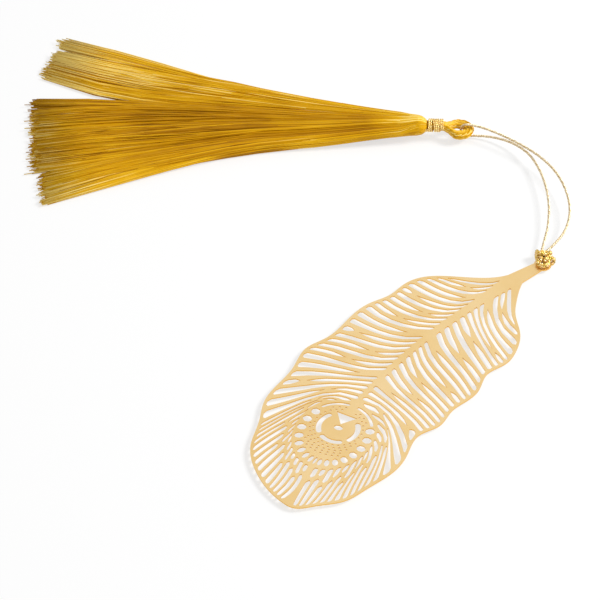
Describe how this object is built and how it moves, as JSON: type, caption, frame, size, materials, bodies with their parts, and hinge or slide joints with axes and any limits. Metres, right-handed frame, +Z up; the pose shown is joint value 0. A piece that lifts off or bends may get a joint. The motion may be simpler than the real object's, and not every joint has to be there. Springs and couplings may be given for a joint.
{
  "type": "bookmark",
  "caption": "Flat etched metal bookmark shaped as a feather, with a cord hitched through its quill and a silk tassel on the cord.",
  "frame": {"origin": "on the plate's underside, half way along the plate", "axes": "+Y along the feather from its tip to its quill, +X across it, +Z up from the table"},
  "size_m": [0.1862, 0.1513, 0.006],
  "materials": {
    "plate": "satin gold plate",
    "cord": "twisted metallic cord",
    "binding": "metallic thread",
    "tassel": "silk yarn"
  },
  "bodies": {
    "plate": {"feather_plate": "plate"},
    "hitch": {"quill_hitch": "cord"},
    "cord": {"cord_loop": "cord"},
    "tassel": {"tassel_head": "tassel", "neck_binding": "binding", "skirt_far_lock": "tassel", "skirt_middle_lock": "tassel", "skirt_near_lock": "tassel"}
  },
  "joints": [
    {"name": "hitch_swivel", "type": "hinge", "parent": "plate", "child": "hitch", "pos_m": [0.00943, 0.0561, 0], "axis": [0, 0, 1], "range_deg": [-110, 15]},
    {"name": "cord_lift", "type": "hinge", "parent": "hitch", "child": "cord", "pos_m": [0.00708, 0.06017, 0.0011], "axis": [0.866, 0.5, 0], "range_deg": [0, 90]},
    {"name": "tassel_swing", "type": "hinge", "parent": "cord", "child": "tassel", "pos_m": [-0.0397, 0.0879, 0.0019], "axis": [0, 0, 1], "range_deg": [-90, 0]}
  ]
}
